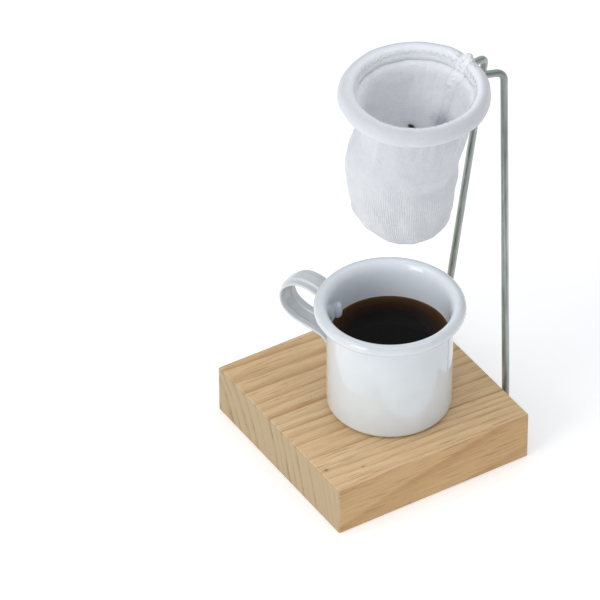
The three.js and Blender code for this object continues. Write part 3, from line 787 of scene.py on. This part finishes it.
def make_seam(bag_inside, hem_grid):
    """The seam that closes the filter: its folded edge runs over the hem and down inside the bag, puckered."""
    steps, ribs = 240, 25
    turns = np.radians(np.arange(40, 200, 6))
    heights = bag_inside[:, 0, 2]
    rows = np.linspace(np.searchsorted(heights, SEAM_TOP), np.searchsorted(heights, SEAM_BOTTOM), 60)
    row_z = np.interp(rows, np.arange(len(heights)), heights)
    uneven_width = np.array([ripple(z * 0.2, 3.0, 0) for z in row_z])
    half_width = 2.9 + 0.6 * uneven_width - 1.0 * smooth(152, 146, row_z)
    half_width_over_hem, bag_radius_at_seam = 3.2, 21.5
    u = np.linspace(-1, 1, ribs)
    lines = []
    for share in u:
        hem_angle = SEAM_ANGLE + share * half_width_over_hem / RING_RADIUS
        over = on_grid(hem_grid, turns / TAU * len(hem_grid), np.full_like(turns, hem_angle))
        offset = 2.2 * smooth(160, 154, row_z) + share * half_width
        down = on_grid(bag_inside, rows, SEAM_ANGLE + offset / bag_radius_at_seam)
        lines.append(curve_through([*over, *down], steps))
    base = np.stack(lines, 1)
    out = np.cross(np.gradient(base, axis=0), np.gradient(base, axis=1))
    out /= np.linalg.norm(out, axis=2, keepdims=True)
    middle = out[steps // 2, ribs // 2]
    axis = np.array([*BAG_AXIS, base[steps // 2, ribs // 2, 2]])
    out *= np.sign((middle * (axis - base[steps // 2, ribs // 2])).sum())
    centre = base[:, ribs // 2]
    along = np.concatenate([[0], np.cumsum(np.linalg.norm(np.diff(centre, axis=0), axis=1))])
    lumps = np.array([[ripple(a * 0.45, 5.0 + 1.3 * v, 2.0) + 0.5 * ripple(a * 1.1, 9.0 + 2.5 * v, 4.0) for v in u]
                      for a in along])
    low_down = smooth(152, 143, centre[:, 2])[:, None]
    thick = (0.55 + 0.40 * lumps) * (1 - 0.7 * low_down) * smooth(-1, 3, along)[:, None]
    thick = np.maximum(thick, 0.12) * (1 - u ** 2)[None] ** 1.4
    under = 0.3 * (1 - u ** 2)[None] ** 0.5
    top = base + out * (thick - 0.03)[..., None]
    bottom = base - out * (under + 0.03)[..., None]
    grid = np.concatenate([top, bottom[:, -2:0:-1]], 1)
    around = np.arange(grid.shape[1] + 1) * 0.25
    lay = np.stack(np.broadcast_arrays(along[:, None], around[None]), -1)
    return grid_mesh("back_seam_puckered", grid, SEAM_KNIT, lay=lay, caps=True)


# ---------- The mug ----------

def cubic(a, b, c, d, steps):
    t = np.linspace(0, 1, steps + 1)[:, None]
    return [tuple(p) for p in (1 - t) ** 3 * a + 3 * t * (1 - t) ** 2 * b + 3 * t * t * (1 - t) * c + t ** 3 * d]


def make_mug():
    inner = MUG_RADIUS - MUG_WALL
    corner = MUG_RADIUS - MUG_CORNER
    floor = MUG_BOTTOM + MUG_WALL
    flare_start = 61.5
    roll_from, roll_to = -94, 128
    under, over = math.radians(roll_from), math.radians(roll_to)
    roll = np.array([RIM_RADIUS, RIM_Z])
    crease = roll + RIM_ROLL * np.array([math.cos(under), math.sin(under)])
    lip = roll + RIM_ROLL * np.array([math.cos(over), math.sin(over)])
    outer_flare = cubic(np.array([MUG_RADIUS, flare_start]), np.array([MUG_RADIUS, flare_start + 4.6]),
                        crease - 2.0 * np.array([-math.sin(under), math.cos(under)]), crease, 18)
    inner_flare = cubic(lip, lip + 2.3 * np.array([-math.sin(over), math.cos(over)]),
                        np.array([inner, RIM_Z - 3.0]), np.array([inner, flare_start]), 22)
    wall = [(MUG_RADIUS, z) for z in np.linspace(MUG_BOTTOM + MUG_CORNER, flare_start, 16)[1:-1]]
    inner_wall = [(inner, z) for z in np.linspace(flare_start, floor + MUG_CORNER - MUG_WALL, 12)[1:-1]]
    profile = [(0, MUG_BOTTOM + 0.5), (12, MUG_BOTTOM + 0.5), (20.5, MUG_BOTTOM + 0.35), (22, MUG_BOTTOM),
               *arc(corner, MUG_BOTTOM + MUG_CORNER, MUG_CORNER, -90, 0, 10), *wall, *outer_flare,
               *arc(RIM_RADIUS, RIM_Z, RIM_ROLL, roll_from, roll_to, 40)[1:], *inner_flare[1:], *inner_wall,
               *arc(corner, floor + MUG_CORNER - MUG_WALL, inner - corner, 0, -90, 6), (0, floor)]

    def unevenness(grid, angles):
        """Pressed steel is never quite round, and the enamel on it is never quite even."""
        z = grid[..., 2]
        out = 0.05 * np.cos(2 * angles + 0.6) + 0.04 * np.cos(3 * angles + z * 0.05)
        grid[..., 0] += out * np.cos(angles)
        grid[..., 1] += out * np.sin(angles)
        return grid

    return lathe("mug_body_pressed", profile, 192, ENAMEL, MUG_CENTRE, unevenness)


TAB_X = MUG_RADIUS + HANDLE_CLEARANCE + HANDLE_THICKNESS / 2
HANDLE_LINE = [(TAB_X, 37), (TAB_X, 43.6), (29, 46.7), (35, 48.6), (41.6, 50.6), (46.1, 53.8), (47.8, 58.3),
               (47.2, 62.5), (44.3, 65.9), (40.5, 67.8), (36, 67.8), (31.5, 66.4), (27.8, 65), (TAB_X, 61.5),
               (TAB_X, 54)][::-1]


def to_mug(points, angle=HANDLE_ANGLE):
    """Points with their first coordinate out along that angle from the mug's axis, in the frame."""
    c, s = math.cos(angle), math.sin(angle)
    out, across, up = np.moveaxis(np.asarray(points, float), -1, 0)
    return np.stack([c * out - s * across + MUG_CENTRE[0], s * out + c * across + MUG_CENTRE[1], up], -1)


def make_handle():
    """A strip with a pressed rib and rounded edges, bent into a loop, its ends curved to the mug's wall."""
    steps = 200
    line = curve_through(HANDLE_LINE, steps)
    tangent = np.gradient(line, axis=0)
    tangent /= np.linalg.norm(tangent, axis=1, keepdims=True)
    outward = np.stack([-tangent[:, 1], tangent[:, 0]], 1)
    half, thick = HANDLE_WIDTH / 2, HANDLE_THICKNESS / 2
    face = np.linspace(-half + thick, half - thick, 41)
    rib = smooth(RIB_WIDTH / 2 + 0.55, RIB_WIDTH / 2 - 0.15, np.abs(face))
    edge = np.radians(np.linspace(90, -90, 9))[1:-1]
    section = [(a, thick, r) for a, r in zip(face, rib)]
    section += [(half - thick + thick * math.cos(e), thick * math.sin(e), 0) for e in edge]
    section += [(a, -thick, r) for a, r in zip(face[::-1], rib[::-1])]
    section += [(-half + thick - thick * math.cos(e), -thick * math.sin(e), 0) for e in edge]
    section = np.array(section)
    along = np.linspace(0, 1, steps)
    tab = np.maximum(smooth(0.17, 0.07, along), smooth(0.87, 0.96, along))
    narrow = 1 - 0.5 * np.maximum(bump(along, 0, 0.012), bump(along, 1, 0.012)) ** 0.5
    rise = RIB_RISE * (1 - tab)
    lift = section[None, :, 1] + section[None, :, 2] * rise[:, None]
    across = section[None, :, 0] * np.clip(narrow, 0.6, 1)[:, None]
    out = line[:, 0:1] + outward[:, 0:1] * lift
    wall = MUG_RADIUS + HANDLE_CLEARANCE
    out = out - tab[:, None] * (wall - np.sqrt(wall ** 2 - across ** 2))
    up = line[:, 1:2] + outward[:, 1:2] * lift
    grid = to_mug(np.stack([out, across, up], -1))
    return grid_mesh("mug_handle_strip", grid, HANDLE_ENAMEL, caps=True)


def make_rivet(name, height):
    """A rivet under the enamel: a soft oblong dome inside and outside the wall."""
    inside = MUG_RADIUS - MUG_WALL
    outside = TAB_X + HANDLE_THICKNESS / 2
    head, rise = 2.4, 1.8
    dome = [(head * math.cos(a), rise * math.sin(a) ** 0.85) for a in np.linspace(0, math.pi / 2, 14)]
    flank = [(head + 0.5, -0.12), (head + 0.18, 0.08)]
    profile = [*[(r, inside - z) for r, z in reversed(dome)], *[(r, inside - z) for r, z in reversed(flank)],
               (0.9, inside + 0.2), (0.9, outside - 0.2), *[(r, outside + z) for r, z in flank],
               *[(r, outside + z) for r, z in dome]]
    angles = np.arange(48) * TAU / 48
    radius, out = np.array(profile).T
    radius[0] = radius[-1] = 0
    grid = np.stack([np.repeat(out[:, None], 48, 1), radius[:, None] * np.cos(angles),
                     1.8 * radius[:, None] * np.sin(angles) + height], -1)
    grid[..., 0] -= np.where(out < MUG_RADIUS, 1, 0)[:, None] * 0.02
    return grid_mesh(name, to_mug(grid), ENAMEL, merge=True)


def make_coffee_surface():
    """The coffee, with a meniscus where it climbs the wall."""
    wall = MUG_RADIUS - MUG_WALL
    floor = MUG_BOTTOM + MUG_WALL
    edge = wall - 0.02
    top = [(edge - d, COFFEE_LEVEL + 0.35 * math.exp(-d / 0.8)) for d in (0, 0.12, 0.3, 0.55, 0.9, 1.4, 2.1, 3.2)]
    top += [(r, COFFEE_LEVEL) for r in (19, 15, 10, 5, 0)]
    profile = [(0, floor + 0.1), (wall - 1.2, floor + 0.1), (wall - 0.3, floor + 0.9), (edge, floor + 2.4), *top]
    return lathe("coffee_poured", profile, 160, COFFEE, MUG_CENTRE)


# ---------- Making the pieces ----------

def belongs(piece, body, slot, *nodes):
    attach(piece, body)
    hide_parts(*nodes)
    return piece


belongs(make_wire(), "stand", "galvanised_wire", "stand_wire")
bag, bag_inside = make_bag()
hem, hem_grid = make_hem()
belongs(bag, "stand", "cotton_knit", "filter_bag")
belongs(hem, "stand", "cotton_knit", "filter_hem")
seam = belongs(make_seam(bag_inside, hem_grid), "stand", "cotton_knit", "back_seam")
stitches = belongs(make_stitching(), "stand", "cotton_thread", "hem_stitching")
belongs(make_mug(), "mug", "enamel", "mug_body")
belongs(make_handle(), "mug", "enamel", "mug_handle")
for which, rivet_height in RIVET_HEIGHTS.items():
    rivet = make_rivet("handle_rivet_%s_domed" % which, rivet_height)
    belongs(rivet, "mug", "enamel", "handle_rivet_" + which)
belongs(make_coffee_surface(), "mug", "coffee", "coffee")


# ---------- The floor, the light and the camera ----------

def make_floor():
    paint = Paint("studio_floor", Base_Color=(0.97, 0.97, 0.97), Roughness=0.8, Specular_IOR_Level=0.1,
                  Emission_Color=(1, 1, 1), Emission_Strength=0.24)
    half = 3000.0
    corners = np.array([[-half, -half, 0], [half, -half, 0], [half, half, 0], [-half, half, 0]])
    add_mesh("studio_floor", corners, [[0, 1, 2, 3]], paint.material)


def add_light(name, place, aim, size, power, colour=(1, 1, 1)):
    light = bpy.data.lights.new(name, "AREA")
    light.shape = "RECTANGLE"
    light.size, light.size_y = size
    light.energy = power
    light.color = colour
    obj = bpy.data.objects.new(name, light)
    obj.location = place
    obj.rotation_euler = (Vector(aim) - Vector(place)).to_track_quat("-Z", "Y").to_euler()
    bpy.context.scene.collection.objects.link(obj)


def add_camera():
    """The photograph's view: a long lens from the front right, with the object off the picture's centre."""
    target, distance = Vector((0, 0, 0.040)), 2.2
    azimuth, elevation, roll = math.radians(57.42), math.radians(39.16), math.radians(0.197)
    back = Vector((math.sin(azimuth) * math.cos(elevation), -math.cos(azimuth) * math.cos(elevation),
                   math.sin(elevation)))
    right = Vector((math.cos(azimuth), math.sin(azimuth), 0))
    up = back.cross(right)
    right, up = right * math.cos(roll) + up * math.sin(roll), up * math.cos(roll) - right * math.sin(roll)
    camera = bpy.data.objects.new("camera", bpy.data.cameras.new("camera"))
    camera.data.sensor_width = 36
    camera.data.lens = 329.4
    camera.data.shift_x = -0.1214
    camera.data.shift_y = 0.0930
    turn = Matrix((right, up, back)).transposed().to_4x4()
    camera.matrix_world = Matrix.Translation(target + back * distance) @ turn
    bpy.context.scene.collection.objects.link(camera)
    bpy.context.scene.camera = camera


def light_world(strength):
    world = bpy.data.worlds.new("studio")
    bpy.context.scene.world = world
    world.use_nodes = True
    background = world.node_tree.nodes["Background"]
    background.inputs["Color"].default_value = (0.92, 0.955, 1.0, 1)
    background.inputs["Strength"].default_value = strength


make_floor()
light_world(0.58)
add_light("key", (0.22, -0.92, 0.42), (0, 0, 0.08), (0.42, 0.62), 3.4)
add_light("high", (-0.25, -0.75, 0.95), (0, 0, 0.08), (0.6, 0.8), 2.0)
add_light("top", (0.1, 0.25, 1.3), (0, 0, 0.05), (0.9, 0.9), 2.6)
add_light("fill", (0.50, 1.00, 0.55), (0, 0, 0.10), (0.9, 0.9), 0.7)
add_camera()
bpy.context.scene.view_settings.view_transform = "Standard"
